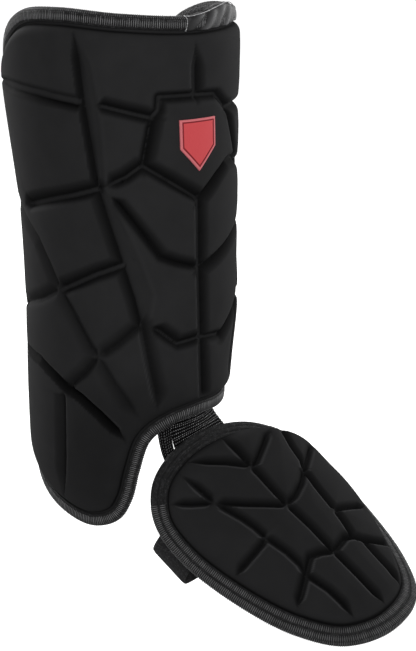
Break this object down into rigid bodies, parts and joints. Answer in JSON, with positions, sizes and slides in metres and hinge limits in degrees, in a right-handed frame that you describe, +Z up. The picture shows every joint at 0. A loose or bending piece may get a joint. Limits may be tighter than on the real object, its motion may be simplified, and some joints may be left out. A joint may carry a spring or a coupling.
{
  "type": "batter's leg guard",
  "caption": "Black moulded-foam batter's leg guard: a grooved shin pad with an ankle lobe, taped edges, calf straps, and an elastic-hung foot pad with a loop under the shoe.",
  "frame": {"origin": "on the lining's inner face at the front centre line, half way up the shin pad's front, where the guard sits on the shin", "axes": "+Z up along the leg, -Y towards the toe, -X towards the side with the ankle lobe"},
  "size_m": [0.1831, 0.3233, 0.4106],
  "materials": {
    "moulded_skin": "matte moulded foam skin",
    "lining_knit": "soft knit lining",
    "binding_tape": "woven binding tape",
    "ribbed_elastic": "ribbed elastic",
    "strap_webbing": "woven webbing",
    "badge_red": "satin moulded badge"
  },
  "bodies": {
    "root": {"shin_pad": "moulded_skin", "shin_lining": "lining_knit", "shin_binding": "binding_tape", "foot_pad": "moulded_skin", "foot_binding": "binding_tape", "instep_elastic": "ribbed_elastic", "side_elastic": "ribbed_elastic", "foot_strap": "strap_webbing", "calf_strap_upper": "strap_webbing", "calf_strap_lower": "strap_webbing", "badge": "badge_red"}
  },
  "joints": []
}
